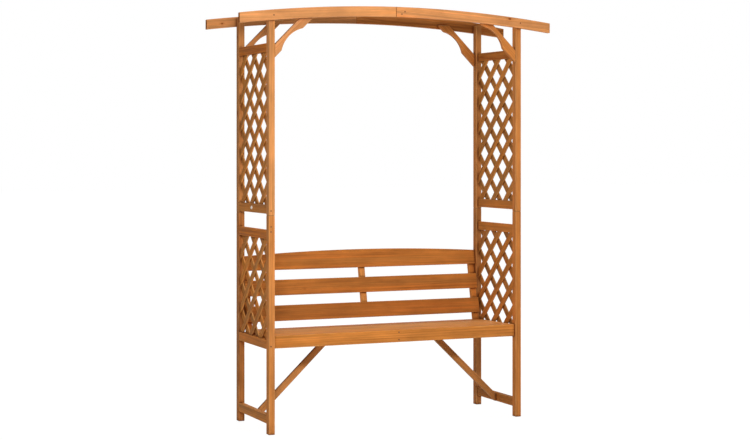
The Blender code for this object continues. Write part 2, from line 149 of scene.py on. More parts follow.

# Each board's tone against its finish, darker or lighter and redder or yellower: partly the stock's own,
# and partly painted light and shade, most plainly the darker rear posts, rear corner braces, rear beam's
# right half, rearmost seat slat and right lattice's outer layer, which lie in shade
BOARD_TONES_AND_SHADE = {
    "lower_post_front_left": (0.15, 0.10), "upper_post_front_left": (0.30, -0.12),
    "lower_post_front_right": (-0.03, 0.14), "upper_post_front_right": (0.02, 0.08),
    "lower_post_rear_left": (-0.24, 0.04), "upper_post_rear_left": (0.01, -0.10),
    "lower_post_rear_right": (-0.20, 0.01), "upper_post_rear_right": (-0.14, 0.03),
    "front_beam_left_half": (0.03, -0.14), "front_beam_right_half": (0.30, -0.05),
    "rear_beam_left_half": (0.12, -0.12), "rear_beam_right_half": (-0.22, 0.22),
    "front_corner_brace_left": (-0.09, -0.18), "front_corner_brace_right": (-0.14, 0.28),
    "rear_corner_brace_left": (-0.26, -0.04), "rear_corner_brace_right": (-0.24, 0.29),
    "seat_slat_1": (0.15, -0.06), "seat_slat_2": (0.15, -0.13), "seat_slat_3": (0.18, -0.27),
    "seat_slat_4": (-0.30, 0.12), "front_apron": (-0.09, 0.17),
    "leg_brace_left": (0.10, -0.07), "leg_brace_right": (-0.07, 0.07),
    "lower_trellis_top_rail_left": (0.05, 0.28), "lower_trellis_top_rail_right": (0.12, -0.08),
    "upper_trellis_bottom_rail_left": (0.12, -0.10), "upper_trellis_bottom_rail_right": (0.05, -0.09),
    "upper_trellis_top_rail_left": (-0.16, 0.38), "upper_trellis_top_rail_right": (-0.32, 0.04),
    "seat_rail_left": (0.22, -0.08), "side_stretcher_left": (0.18, -0.22),
    "side_stretcher_right": (-0.18, -0.06), "back_stile_centre": (0.74, -0.20),
    "back_stile_left": (0.12, 0.18), "back_stile_right": (0.12, 0.0),
    "back_slat_bottom": (-0.10, 0.0), "back_slat_middle": (-0.05, 0.02),
    "inner_layer_right": (-0.03, -0.02), "outer_layer_right": (-0.13, -0.12),
    "outer_layer_left": (0.08, 0.08), "inner_layer_left": (0.02, 0.06),
}

# Painted light and shade along the beam halves, for the front beam's shadow on the rear beam and the
# lamps'
# falloff along the front beam: from where to where across the bench, and by how much the tone changes
PAINTED_SHADE_FADES = {
    "front_beam_left_half": (-0.52, -0.12, 0.13), "front_beam_right_half": (0.60, 0.78, -0.22),
    "rear_beam_left_half": (-0.72, -0.62, -0.24), "rear_beam_right_half": (0.42, 0.58, -0.14),
}
NO_PAINTED_FADE = (0.0, 1.0, 0.0)

# Boards cut from another length of timber than the one first picked for them
OTHER_STOCK = {"front_beam_left_half": "second plank"}

# Knots at chosen places: their middle on the board's face, and their size
MAIN_KNOTS = {
    "front_beam_right_half": ((0.586, -BEAM_FACE, 1.961), 0.0058),
    "rear_beam_left_half": ((-0.735, BEAM_FACE - 0.024, 1.932), 0.0040),
}
NO_KNOT = ((0, 0, 9), 0.0)


# Small helpers for shader nodes
class Nodes:
    """Adds and joins nodes in one material or node group."""

    def __init__(self, tree):
        self.tree = tree

    def add(self, kind, **settings):
        node = self.tree.nodes.new(kind)
        for name, value in settings.items():
            setattr(node, name, value)
        return node

    def feed(self, node, values):
        for name, value in values.items():
            socket = node.inputs[name]
            if isinstance(value, bpy.types.NodeSocket):
                self.tree.links.new(value, socket)
            else:
                socket.default_value = value
        return node

    def math(self, operation, a, b=0.0, clamp=False):
        node = self.add("ShaderNodeMath", operation=operation, use_clamp=clamp)
        self.feed(node, {0: a, 1: b})
        return node.outputs[0]

    def vector(self, operation, a, b=(0.0, 0.0, 0.0)):
        node = self.add("ShaderNodeVectorMath", operation=operation)
        self.feed(node, {0: a, 1: b})
        return node.outputs["Value" if operation == "LENGTH" else "Vector"]

    def ramp(self, value, low, high, to_low=0.0, to_high=1.0, smooth=True):
        way = "SMOOTHSTEP" if smooth else "LINEAR"
        node = self.add("ShaderNodeMapRange", interpolation_type=way)
        self.feed(node, {"Value": value, "From Min": low, "From Max": high,
                         "To Min": to_low, "To Max": to_high})
        return node.outputs["Result"]

    def noise(self, place, scales, detail=2.0, roughness=0.5, colour=False):
        node = self.add("ShaderNodeTexNoise", noise_dimensions="3D")
        self.feed(node, {"Vector": self.vector("MULTIPLY", place, scales), "Scale": 1.0,
                         "Detail": detail, "Roughness": roughness})
        return node.outputs["Color" if colour else "Fac"]

    def sway(self, place, scales, reach):
        """A shift that wanders either way, by up to half of reach."""
        swing = self.noise(place, scales, colour=True)
        return self.vector("MULTIPLY", self.vector("SUBTRACT", swing, (0.5, 0.5, 0.5)), reach)

    def mix(self, factor, a, b, blend="MIX"):
        node = self.add("ShaderNodeMix", data_type="RGBA", blend_type=blend, clamp_factor=True)
        self.feed(node, {0: factor, 6: a, 7: b})
        return node.outputs[2]

    def tinted(self, colour, tint):
        return self.mix(1.0, colour, tint, "MULTIPLY")

    def attribute(self, name, output="Fac"):
        node = self.add("ShaderNodeAttribute", attribute_name=name, attribute_type="GEOMETRY")
        return node.outputs[output]

    def seen_directly(self):
        """1 for rays of the camera and for those that a shiny or clear surface sends on."""
        rays = self.add("ShaderNodeLightPath").outputs
        sent_on = self.math("MAXIMUM", rays["Is Glossy Ray"], rays["Is Transmission Ray"])
        return self.math("MAXIMUM", rays["Is Camera Ray"], sent_on)


def new_group(name, inputs, outputs):
    """An empty shader node group with named sockets."""
    group = bpy.data.node_groups.new(name, "ShaderNodeTree")
    for label, kind, value in inputs:
        socket = group.interface.new_socket(name=label, in_out="INPUT", socket_type=kind)
        socket.default_value = value
    for label, kind in outputs:
        group.interface.new_socket(name=label, in_out="OUTPUT", socket_type=kind)
    made = Nodes(group)
    return group, made, made.add("NodeGroupInput"), made.add("NodeGroupOutput")


def new_material(name):
    """A node material, the helper for its nodes, and its shader."""
    material = bpy.data.materials.new(name)
    material.use_nodes = True
    tree = material.node_tree
    return material, Nodes(tree), tree.nodes["Principled BSDF"]


def srgb(red, green, blue):
    """A colour read off in 8 bit values, as linear light."""
    def linear(value):
        value /= 255
        return value / 12.92 if value <= 0.04045 else ((value + 0.055) / 1.055) ** 2.4
    return (linear(red), linear(green), linear(blue), 1.0)


# Softwood under a translucent stain
KNOT_CELL = (0.34, 0.11, 0.11)
KNOT_ROUNDING = (0.62, 1.0, 1.0)
KNOT_RADII = (0.0030, 0.0075)
LEAST_KNOT = 0.0001
RINGS_ROUND_KNOT = 0.006
DULL_STREAK = (0.76, 0.80, 0.92, 1)
GLOWING_STREAK = (1.14, 1.00, 0.74, 1)
RED_STREAK = (1.04, 0.84, 0.72, 1)
KNOT_TINT = (0.62, 0.48, 0.36, 1)
# The dark tint of thirsty end grain, also used as painted shade on the braces' tops
SOAKED_OR_SHADED_TINT = (0.62, 0.56, 0.56, 1)
# The tint of the painted shade where boards meet
CORNER_SHADE_TINT = (0.36, 0.28, 0.24, 1)
BARE_WOOD = (0.80, 0.62, 0.42, 1)


def knots(n, place, amount):
    """A sparse scatter of knots, and a board's own knot at a chosen place."""
    cells = n.add("ShaderNodeTexVoronoi", voronoi_dimensions="3D", feature="F1")
    cell_place = n.vector("DIVIDE", place, KNOT_CELL)
    n.feed(cells, {"Vector": cell_place, "Scale": 1.0, "Randomness": 0.9})
    away = n.vector("SUBTRACT", cell_place, cells.outputs["Position"])
    away = n.vector("MULTIPLY", n.vector("MULTIPLY", away, KNOT_CELL), KNOT_ROUNDING)
    chosen = n.feed(n.add("ShaderNodeSeparateColor"), {"Color": cells.outputs["Color"]})
    present = n.math("MULTIPLY", n.ramp(chosen.outputs[0], 0.66, 0.68), amount)
    radius = n.ramp(chosen.outputs[1], 0.0, 1.0, *KNOT_RADII, smooth=False)
    reach = n.math("DIVIDE", n.vector("LENGTH", away), radius)
    knot = n.math("MULTIPLY", n.ramp(reach, 0.75, 1.15, 1.0, 0.0), present)
    halo = n.math("MULTIPLY", n.ramp(reach, 0.8, 4.0, 1.0, 0.0), present)

    beside = n.vector("SUBTRACT", place, n.attribute("main_knot", "Vector"))
    beside = n.vector("MULTIPLY", beside, KNOT_ROUNDING)
    main_radius = n.math("MAXIMUM", n.attribute("main_knot_size"), LEAST_KNOT)
    main_reach = n.math("DIVIDE", n.vector("LENGTH", beside), main_radius)
    knot = n.math("MAXIMUM", knot, n.ramp(main_reach, 0.7, 1.1, 1.0, 0.0))
    halo = n.math("MAXIMUM", halo, n.ramp(main_reach, 0.8, 3.6, 1.0, 0.0))
    return knot, halo, n.math("MINIMUM", reach, main_reach)


def late_wood(n, place, knot_halo, spacing, strength):
    """The dark part of the growth rings, round a pith that lies outside the board."""
    bent = n.vector("ADD", place, n.sway(place, (1.6, 9.0, 9.0), (0.0, 0.016, 0.016)))
    bent = n.vector("ADD", bent, n.sway(place, (9.0, 60.0, 60.0), (0.0, 0.0018, 0.0018)))
    radius = n.vector("LENGTH", n.vector("MULTIPLY", bent, (0.0, 1.0, 1.0)))
    radius = n.math("ADD", radius, n.math("MULTIPLY", knot_halo, RINGS_ROUND_KNOT))
    years = n.math("DIVIDE", radius, spacing)
    drift = n.add("ShaderNodeTexNoise", noise_dimensions="1D")
    n.feed(drift, {"W": n.math("MULTIPLY", years, 0.31), "Scale": 1.0, "Detail": 1.0})
    years = n.math("ADD", years, n.math("MULTIPLY", drift.outputs["Fac"], 2.2))
    part_year = n.math("FRACT", years)
    late = n.math("MULTIPLY", n.ramp(part_year, 0.35, 0.88), n.ramp(part_year, 0.93, 1.0, 1.0, 0.0))
    which = n.feed(n.add("ShaderNodeTexWhiteNoise", noise_dimensions="1D"), {"W": n.math("FLOOR", years)})
    year_strength = n.ramp(which.outputs["Value"], 0.0, 1.0, 0.35, 1.0, smooth=False)
    return n.math("MULTIPLY", n.math("MULTIPLY", late, year_strength), strength)


def streaked(n, place, colour, amount):
    """A stain's colour with long dull and glowing streaks and broad red ones."""
    long_streak = n.noise(place, (0.8, 48.0, 48.0), 3.0, 0.6)
    broad_streak = n.noise(n.vector("ADD", place, (3.0, 0.7, 0.2)), (0.5, 17.0, 17.0), 2.0, 0.5)
    for streak, start, full, share, tint in ((long_streak, 0.46, 0.70, 0.85, DULL_STREAK),
                                             (long_streak, 0.46, 0.26, 0.8, GLOWING_STREAK),
                                             (broad_streak, 0.50, 0.72, 0.6, RED_STREAK)):
        here = n.math("MULTIPLY", n.ramp(streak, start, full), amount)
        colour = n.mix(n.math("MULTIPLY", here, share), colour, n.tinted(colour, tint))
    return colour


def toned(n, colour, level):
    """A colour at a level, lighter or darker and redder or yellower as the board's own tone says."""
    level = n.math("MULTIPLY", level, n.math("ADD", n.attribute("board_shade"), 1.0))
    warmth = n.attribute("board_warmth")
    red = n.math("MULTIPLY", level, n.math("ADD", 1.0, n.math("MULTIPLY", warmth, 0.5)))
    blue = n.math("MULTIPLY", level, n.math("SUBTRACT", 1.0, warmth))
    levels = n.feed(n.add("ShaderNodeCombineColor"), {"Red": red, "Green": level, "Blue": blue})
    return n.tinted(colour, levels.outputs[0])


def softwood_group():
    """Growth rings, fibres, stain streaks, knots and sanded arrises in each board's own frame."""
    inputs = [("Stain", "NodeSocketColor", (0.6, 0.25, 0.08, 1)),
              ("Deep Stain", "NodeSocketColor", (0.3, 0.09, 0.02, 1)),
              ("Sanded", "NodeSocketColor", (0.75, 0.38, 0.15, 1)),
              ("Ring Spacing", "NodeSocketFloat", 0.0042),
              ("Ring Strength", "NodeSocketFloat", 0.5),
              ("Streaks", "NodeSocketFloat", 0.5),
              ("Knots", "NodeSocketFloat", 1.0),
              ("Sanding", "NodeSocketFloat", 0.5),
              # How open each point is, which sets the painted shade where boards meet
              ("Openness", "NodeSocketFloat", 1.0)]
    outputs = [("Colour", "NodeSocketColor"), ("Roughness", "NodeSocketFloat"),
               ("Relief", "NodeSocketFloat")]
    group, n, given, result = new_group("softwood", inputs, outputs)
    given = given.outputs
    place = n.attribute("grain_place", "Vector")
    end_grain_and_shade = n.attribute("end_grain_and_shade")
    knot, knot_halo, knot_reach = knots(n, place, given["Knots"])
    late = late_wood(n, place, knot_halo, given["Ring Spacing"], given["Ring Strength"])

    # Stain lies unevenly: streaks, small blotches, ribbons, single fibres and specks
    blotch = n.noise(n.vector("ADD", place, (0.4, 1.3, 2.2)), (6.0, 16.0, 16.0), 3.0, 0.55)
    ribbon = n.noise(n.vector("ADD", place, (1.1, 4.2, 0.6)), (1.5, 125.0, 125.0), 3.0, 0.6)
    fibre = n.noise(place, (26.0, 1300.0, 1300.0), 2.0, 0.6)
    speck = n.noise(place, (120.0, 700.0, 700.0), 1.0, 0.5)
    colour = n.mix(late, given["Stain"], given["Deep Stain"])
    colour = streaked(n, place, colour, given["Streaks"])
    level = n.ramp(blotch, 0.25, 0.75, 0.80, 1.20, smooth=False)
    level = n.math("MULTIPLY", level, n.ramp(ribbon, 0.30, 0.70, 0.80, 1.20, smooth=False))
    level = n.math("MULTIPLY", level, n.ramp(fibre, 0.2, 0.8, 0.90, 1.10, smooth=False))
    level = n.math("MULTIPLY", level, n.ramp(speck, 0.30, 0.42, 0.94, 1.0))
    colour = toned(n, colour, level)

    # Knots, sanded arrises, thirsty end grain, braces' tops darkened with it as painted shade, and bare
    # wood in the bores
    knot_rings = n.ramp(n.math("FRACT", n.math("MULTIPLY", knot_reach, 3.0)), 0.2, 0.8, 0.55, 1.0)
    colour = n.mix(n.math("MULTIPLY", knot_halo, 0.30), colour, given["Deep Stain"])
    knot_colour = n.tinted(given["Deep Stain"], KNOT_TINT)
    colour = n.mix(n.math("MULTIPLY", knot, knot_rings), colour, knot_colour)
    rubbed = n.ramp(n.noise(place, (14.0, 30.0, 30.0), 3.0, 0.6), 0.32, 0.62)
    rubbed = n.math("MULTIPLY", n.math("MULTIPLY", rubbed, given["Sanding"]), n.attribute("arris"))
    colour = n.mix(rubbed, colour, given["Sanded"])
    # End grain soaks up more stain; the braces' tops get the same dark stain as painted shade
    soaked_or_shaded = n.tinted(given["Deep Stain"], SOAKED_OR_SHADED_TINT)
    colour = n.mix(n.math("MULTIPLY", end_grain_and_shade, 0.75), colour, soaked_or_shaded)
    fresh = n.mix(0.35, given["Sanded"], BARE_WOOD)
    colour = n.mix(n.math("MULTIPLY", n.attribute("bare_wood"), 0.75), colour, fresh)

    # Painted shade: darker where boards meet, by how little open space lies round each point
    corner = n.ramp(given["Openness"], 0.45, 0.94, 1.0, 0.0, smooth=False)
    colour = n.mix(n.math("MULTIPLY", corner, 0.95), colour, n.tinted(colour, CORNER_SHADE_TINT))

    rough = n.ramp(blotch, 0.2, 0.8, 0.50, 0.66, smooth=False)
    rough = n.math("ADD", rough, n.math("MULTIPLY", late, -0.08))
    rough = n.math("ADD", rough, n.math("MULTIPLY", end_grain_and_shade, 0.16), clamp=True)
    relief = n.math("ADD", n.math("MULTIPLY", fibre, 0.45), n.math("MULTIPLY", late, 0.55))
    relief = n.math("ADD", relief, n.math("MULTIPLY", speck, 0.25))
    relief = n.math("SUBTRACT", relief, n.math("MULTIPLY", knot, 0.6))
    n.feed(result, {"Colour": colour, "Roughness": rough, "Relief": relief})
    return group


SOFTWOOD = softwood_group()
WOOD_RELIEF = 0.0006
WOOD_BUMP = 0.5
STAIN_IOR = 1.45
STAIN_SHEEN = 0.06
# Rays that measure each point's openness for the painted shade where boards meet
CORNER_SHADE_SAMPLES = 8


def stained_wood(name, stain, deep, sanded, **amounts):
    """One finish: the softwood group with this finish's own colours and amounts."""
    material, n, shader = new_material(name)
    wood = n.add("ShaderNodeGroup", node_tree=SOFTWOOD)
    n.feed(wood, {"Stain": srgb(*stain), "Deep Stain": srgb(*deep), "Sanded": srgb(*sanded)})
    n.feed(wood, {label.replace("_", " ").title(): value for label, value in amounts.items()})
    # Openness round each point, for the painted shade where boards meet
    near = n.add("ShaderNodeAmbientOcclusion", samples=CORNER_SHADE_SAMPLES)
    n.feed(near, {"Distance": CORNER_SHADE_REACH})
    n.feed(wood, {"Openness": near.outputs["AO"]})
    bump = n.feed(n.add("ShaderNodeBump"), {"Strength": WOOD_BUMP, "Distance": WOOD_RELIEF,
                                            "Height": wood.outputs["Relief"]})
    n.feed(shader, {"Base Color": wood.outputs["Colour"], "Roughness": wood.outputs["Roughness"],
                    "Normal": bump.outputs["Normal"], "IOR": STAIN_IOR,
                    "Specular IOR Level": STAIN_SHEEN})
    return material


FINISHES = {
    "beams": stained_wood("beam_stain", (226, 151, 88), (178, 96, 40), (240, 182, 120),
                          ring_spacing=0.0052, ring_strength=0.45, streaks=0.8, sanding=0.5),
    "posts": stained_wood("post_stain", (206, 136, 75), (158, 83, 34), (227, 171, 107),
                          ring_spacing=0.0044, ring_strength=0.5, streaks=0.85, sanding=0.7),
    "side_rails": stained_wood("rail_stain", (209, 131, 59), (146, 74, 25), (228, 159, 85),
                               ring_spacing=0.0040, ring_strength=0.55, streaks=0.9, sanding=0.6),
    "lattice": stained_wood("lattice_stain", (205, 135, 65), (120, 61, 23), (240, 177, 108),
                            ring_spacing=0.0034, ring_strength=0.55, streaks=1.0, sanding=0.6,
                            knots=0.6),
    "seat": stained_wood("seat_stain", (215, 141, 72), (165, 87, 34), (235, 175, 104),
                         ring_spacing=0.0048, ring_strength=0.26, streaks=0.55, sanding=0.5),
    "back": stained_wood("back_stain", (199, 126, 59), (143, 72, 26), (214, 153, 86),
                         ring_spacing=0.0048, ring_strength=0.35, streaks=0.85, sanding=0.5),
    "braces": stained_wood("brace_stain", (197, 131, 72), (141, 76, 32), (214, 159, 100),
                           ring_spacing=0.0044, ring_strength=0.5, streaks=0.9, sanding=0.6),
    "dowels": stained_wood("bare_beech", (214, 182, 140), (176, 138, 96), (226, 200, 164),
                           ring_spacing=0.0025, ring_strength=0.3, streaks=0.3, sanding=0.2,
                           knots=0.0),
}


def browned_screw():
    """Yellow zinc that has browned, with darker blotches."""
    material, n, shader = new_material("browned_screw")
    place = n.add("ShaderNodeTexCoord").outputs["Object"]
    stain = n.ramp(n.noise(place, (420.0, 420.0, 420.0), 3.0, 0.6), 0.35, 0.65)
    n.feed(shader, {"Base Color": n.mix(stain, srgb(168, 92, 46), srgb(116, 60, 28)),
                    "Roughness": n.ramp(stain, 0.0, 1.0, 0.55, 0.8, smooth=False),
                    "Metallic": 0.1, "Specular IOR Level": 0.1})
    return material


BROWNED_SCREW = browned_screw()


# Meshes under construction
def placed(name, data):
    """A new object for a mesh, a lamp or a camera, linked to the scene."""
    item = bpy.data.objects.new(name, data)
    bpy.context.scene.collection.objects.link(item)
    return item


def placed_mesh(name, bm):
    """A new object for a mesh under construction, which is freed."""
    mesh = bpy.data.meshes.new(name)
    bm.to_mesh(mesh)
    bm.free()
    return placed(name, mesh)


def add_copy(whole, part):
    """Add a mesh to another and free it."""
    single = bpy.data.meshes.new("part")
    part.to_mesh(single)
    part.free()
    whole.from_mesh(single)
    bpy.data.meshes.remove(single)


def cut_away(bm, cutters):
    """The mesh less its cutters, both closed."""
    board, tool = placed_mesh("being_cut", bm), placed_mesh("cutters", cutters)
    cut = board.modifiers.new("cut", "BOOLEAN")
    cut.operation, cut.solver, cut.object = "DIFFERENCE", "EXACT", tool
    done = bpy.data.meshes.new_from_object(board.evaluated_get(bpy.context.evaluated_depsgraph_get()))
    result = bmesh.new()
    result.from_mesh(done)
    for item in (board, tool):
        mesh = item.data
        bpy.data.objects.remove(item)
        bpy.data.meshes.remove(mesh)
    bpy.data.meshes.remove(done)
    bmesh.ops.remove_doubles(result, verts=result.verts, dist=SAME_POINT)
    return result


def bevel_edges(bm, edges, width, segments=2):
    """Cut some edges back by a width: round, or flat where there is one segment."""
    bmesh.ops.bevel(bm, geom=edges, offset=width, offset_type="OFFSET", segments=segments, profile=0.5,
                    affect="EDGES", material=-1, clamp_overlap=True)


def facing(point, out):
    """The place of something whose own +Z looks along out."""
    return Matrix.Translation(Vector(point)) @ Vector(out).to_track_quat("Z", "Y").to_matrix().to_4x4()


def small_piece(name, bm, material):
    """A small piece that rides on the bench and stands for no CAD node."""
    piece = placed_mesh(name, bm)
    piece.data.materials.append(material)
    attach(piece, "root")
    return piece


# Screws: where each one enters a board's face, by its place across the bench and its height
FRONT, REAR = (0, -1, 0), (0, 1, 0)
LOOKS_OUT = 0.9
SCREW_COLUMN = POST_INNER + 0.019
POST_SCREW_HEIGHTS = {"upper": (1.0365,), "lower": (0.9625, 0.9394, 0.4091)}
BEAM_SCREW = (0.6455, 1.9420)
LAP_SCREWS = ((0.004, 1.966), (0.020, 1.978))
APRON_SCREWS = ((0.005, 0.4446), (0.005, 0.4092))
STILE_COLUMN = 0.6167
STILE_COLUMN_SHIFT = 0.002
STILE_SCREW_HEIGHTS = (0.502, 0.537, 0.624, 0.660, 0.748, 0.772)


def on_face(node, out, across, height):
    """A point on the board's largest face that looks out, and that face's normal."""
    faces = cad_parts[node].data.polygons
    face = max((face for face in faces if face.normal.dot(Vector(out)) > LOOKS_OUT),
               key=lambda face: face.area)
    point = Vector((across, 0, height))
    point.y += (face.center - point).dot(face.normal) / face.normal.y
    return point, face.normal.copy()


def screw_places():
    """Screws by board: posts into rails, beams into posts, the beams' laps, the apron and the back."""
    places = {}
    for end, out in (("front", FRONT), ("rear", REAR)):
        for side, hand in SIDES:
            if (end, side) == ("front", "right"):
                continue
            for length, heights in POST_SCREW_HEIGHTS.items():
                places[f"{length}_post_{end}_{side}"] = [(out, hand * SCREW_COLUMN, z) for z in heights]
    for end, out, lap_side, lap_hand in (("front", FRONT, "right", 1), ("rear", REAR, "left", -1)):
        for side, hand in SIDES:
            places[f"{end}_beam_{side}_half"] = [(out, hand * BEAM_SCREW[0], BEAM_SCREW[1])]
        places[f"{end}_beam_{lap_side}_half"] += [(out, lap_hand * x, z) for x, z in LAP_SCREWS]
    places["front_apron"] = [(FRONT, *place) for place in APRON_SCREWS]
    for side, hand in (("left", -1), ("centre", 0), ("right", 1)):
        column = hand * STILE_COLUMN + STILE_COLUMN_SHIFT
        places[f"back_stile_{side}"] = [(REAR, column, z) for z in STILE_SCREW_HEIGHTS]
    return {node: [on_face(node, *place) for place in found] for node, found in places.items()}


SCREWS = screw_places()


def bore_cutters(bores):
    """A countersink and a pilot hole for each screw."""
    cutters = bmesh.new()
    for point, out in bores:
        made = bmesh.ops.create_cone(cutters, cap_ends=True, segments=ROUND_STEPS, radius1=PILOT_RADIUS,
                                     radius2=BORE_RADIUS + CUTTER_PROUD, depth=BORE_DEPTH + CUTTER_PROUD)
        sunk = Matrix.Translation((0, 0, -(BORE_DEPTH - CUTTER_PROUD) / 2))
        bmesh.ops.transform(cutters, matrix=facing(point, out) @ sunk, verts=made["verts"])
    return cutters


def screw_head():
    """A countersunk head with a cross recess, its top at the origin and looking up."""
    head = bmesh.new()
    made = bmesh.ops.create_cone(head, cap_ends=True, segments=ROUND_STEPS, depth=HEAD_DEPTH,
                                 radius1=PILOT_RADIUS * SHANK_SHARE, radius2=HEAD_RADIUS)
    bmesh.ops.translate(head, vec=(0, 0, -HEAD_DEPTH / 2), verts=made["verts"])
    rim = [edge for edge in head.edges if all(vert.co.z > -SLIVER for vert in edge.verts)]
    bevel_edges(head, rim, HEAD_RIM)
    narrow = Matrix.Diagonal((1.0, RECESS_NARROWING, 1.0, 1.0)) @ Matrix.Rotation(math.pi / 4, 4, "Z")
    for turn in (0, math.pi / 2):
        recess = bmesh.new()
        slot = bmesh.ops.create_cone(recess, cap_ends=True, segments=4, radius1=RECESS_TIP,
                                     radius2=RECESS_MOUTH, depth=RECESS_DEPTH)
        bmesh.ops.transform(recess, matrix=Matrix.Rotation(turn, 4, "Z") @ narrow, verts=slot["verts"])
        head = cut_away(head, recess)
    return head


def screws():
    """All the screws, each turned a little differently in its bore."""
    luck = random.Random("screws")
    single = bpy.data.meshes.new("screw_head")
    head = screw_head()
    head.to_mesh(single)
    head.free()
    joined = bmesh.new()
    for bores in SCREWS.values():
        for point, out in bores:
            start = len(joined.verts)
            joined.from_mesh(single)
            joined.verts.ensure_lookup_table()
            turned = Matrix.Rotation(luck.uniform(0, math.pi), 4, "Z")
            place = facing(point, out) @ Matrix.Translation((0, 0, -HEAD_SUNK)) @ turned
            bmesh.ops.transform(joined, matrix=place, verts=joined.verts[start:])
    bpy.data.meshes.remove(single)
    small_piece("screws", joined, BROWNED_SCREW)


# The pale cap in the middle of the left trellis rail
CAP_PLACE = (0.008, 1.0446)
CAP_RADIUS = 0.0088
CAP_HEIGHT = 0.0060
CAP_RIM_SHARE = 0.22
CAP_RINGS = 8
CAP_STEPS = 32


def pale_plastic():
    """Off-white cap plastic, slightly yellowed in patches."""
    material, n, shader = new_material("pale_plastic")
    place = n.add("ShaderNodeTexCoord").outputs["Object"]
    yellowed = n.ramp(n.noise(place, (260.0, 260.0, 260.0), 3.0, 0.6), 0.35, 0.7)
    grain = n.noise(place, (2600.0, 2600.0, 2600.0), 2.0, 0.5)
    bump = n.feed(n.add("ShaderNodeBump"), {"Strength": 0.3, "Distance": 0.0001, "Height": grain})
    n.feed(shader, {"Base Color": n.mix(yellowed, srgb(244, 238, 226), srgb(232, 220, 198)),
                    "Roughness": n.ramp(grain, 0.3, 0.7, 0.26, 0.36, smooth=False),
                    "Normal": bump.outputs["Normal"],
                    "Coat Weight": 0.8, "Coat Roughness": 0.25})
    return material


def rail_cap():
    """A low dome with a rounded rim, spun round its own axis."""
    bm = bmesh.new()
    outline = [Vector((0, 0, CAP_HEIGHT))]
    for ring in range(1, CAP_RINGS + 1):
        turn = math.pi / 2 * ring / CAP_RINGS
        height = CAP_HEIGHT * (CAP_RIM_SHARE + (1 - CAP_RIM_SHARE) * math.cos(turn))
        outline.append(Vector((CAP_RADIUS * math.sin(turn), 0, height)))
    outline += [Vector((CAP_RADIUS, 0, 0)), Vector((0, 0, 0))]
    points = [bm.verts.new(point) for point in outline]
    edges = [bm.edges.new(pair) for pair in zip(points, points[1:])]
    bmesh.ops.spin(bm, geom=points + edges, cent=(0, 0, 0), axis=(0, 0, 1), angle=2 * math.pi,
                   steps=CAP_STEPS, use_merge=True)
    bmesh.ops.remove_doubles(bm, verts=bm.verts, dist=SAME_POINT)
    bmesh.ops.recalc_face_normals(bm, faces=bm.faces)
    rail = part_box("upper_trellis_bottom_rail_left")
    point = (rail[0][0], *CAP_PLACE)
    bmesh.ops.transform(bm, matrix=facing(point, (-1, 0, 0)), verts=bm.verts)
    cap = small_piece("rail_cap", bm, pale_plastic())
    cap.data.shade_smooth()


# Boards
def smooth_step(value, low, high):
    """0 up to low, 1 from high on, and an even S between them."""
    step = min(1.0, max(0.0, (value - low) / (high - low)))
    return step * step * (3 - 2 * step)


def grain_frame(grain, face):
    """A turn whose rows are the grain, the board's width and its face normal."""
    along = Vector(grain).normalized()
    out = Vector(face)
    out = (out - along * out.dot(along)).normalized()
    return Matrix((along, out.cross(along), out))


def mark_points(bm, turn, luck, node):
    """Give each point its place in the log, its board's tone and painted shade, and the place of the
    board's own knot.
    """
    place = bm.verts.layers.float_vector.new("grain_place")
    shade = bm.verts.layers.float.new("board_shade")
    warmth = bm.verts.layers.float.new("board_warmth")
    main_knot = bm.verts.layers.float_vector.new("main_knot")
    main_knot_size = bm.verts.layers.float.new("main_knot_size")
    middle = sum((v.co for v in bm.verts), Vector()) / len(bm.verts)
    pith_angle = luck.uniform(0, 2 * math.pi)
    pith_away = luck.uniform(*PITH_AWAY)
    shift = Vector((luck.uniform(*ALONG_LOG), pith_away * math.cos(pith_angle),
                    pith_away * math.sin(pith_angle)))
    lean = luck.uniform(-GRAIN_LEAN, GRAIN_LEAN)
    spread = SLAT_SPREAD if "layer" in node else BOARD_SPREAD
    # The board's tone, partly its own and partly painted light and shade
    tone, tint = BOARD_TONES_AND_SHADE.get(node, (0.0, 0.0))
    board_shade = tone + luck.uniform(-spread, spread)
    board_warmth = tint + luck.uniform(-spread, spread)

    def in_log(point):
        local = turn @ (point - middle)
        local.y += lean * local.x
        return local + shift

    # Painted shade along the beam halves: the tone changes evenly between two places across the bench
    fade_start, fade_end, fade = PAINTED_SHADE_FADES.get(node, NO_PAINTED_FADE)
    knot_point, knot_size = MAIN_KNOTS.get(node, NO_KNOT)
    knot_place = in_log(Vector(knot_point))
    for vert in bm.verts:
        vert[place] = in_log(vert.co)
        along = min(1.0, max(0.0, (vert.co.x - fade_start) / (fade_end - fade_start)))
        vert[shade] = board_shade + fade * along
        vert[warmth] = board_warmth
        vert[main_knot] = knot_place
        vert[main_knot_size] = knot_size


def in_bore(face, point, out):
    """Whether all of a face lies within a screw's bore."""
    for vert in face.verts:
        away = vert.co - point
        beside = (away - out * away.dot(out)).length
        if beside > BORE_RADIUS + BORE_MARGIN or away.length > BORE_REACH:
            return False
    return True


def at_lap_seam(face):
    """Whether a narrow face of a beam half lies at the seam that shows in its outer face."""
    centre = face.calc_center_median()
    return abs(face.normal.x) > SEAM_FACING and abs(centre.x) < SEAM_REACH \
        and abs(centre.y) > BEAM_FACE - SEAM_DEPTH


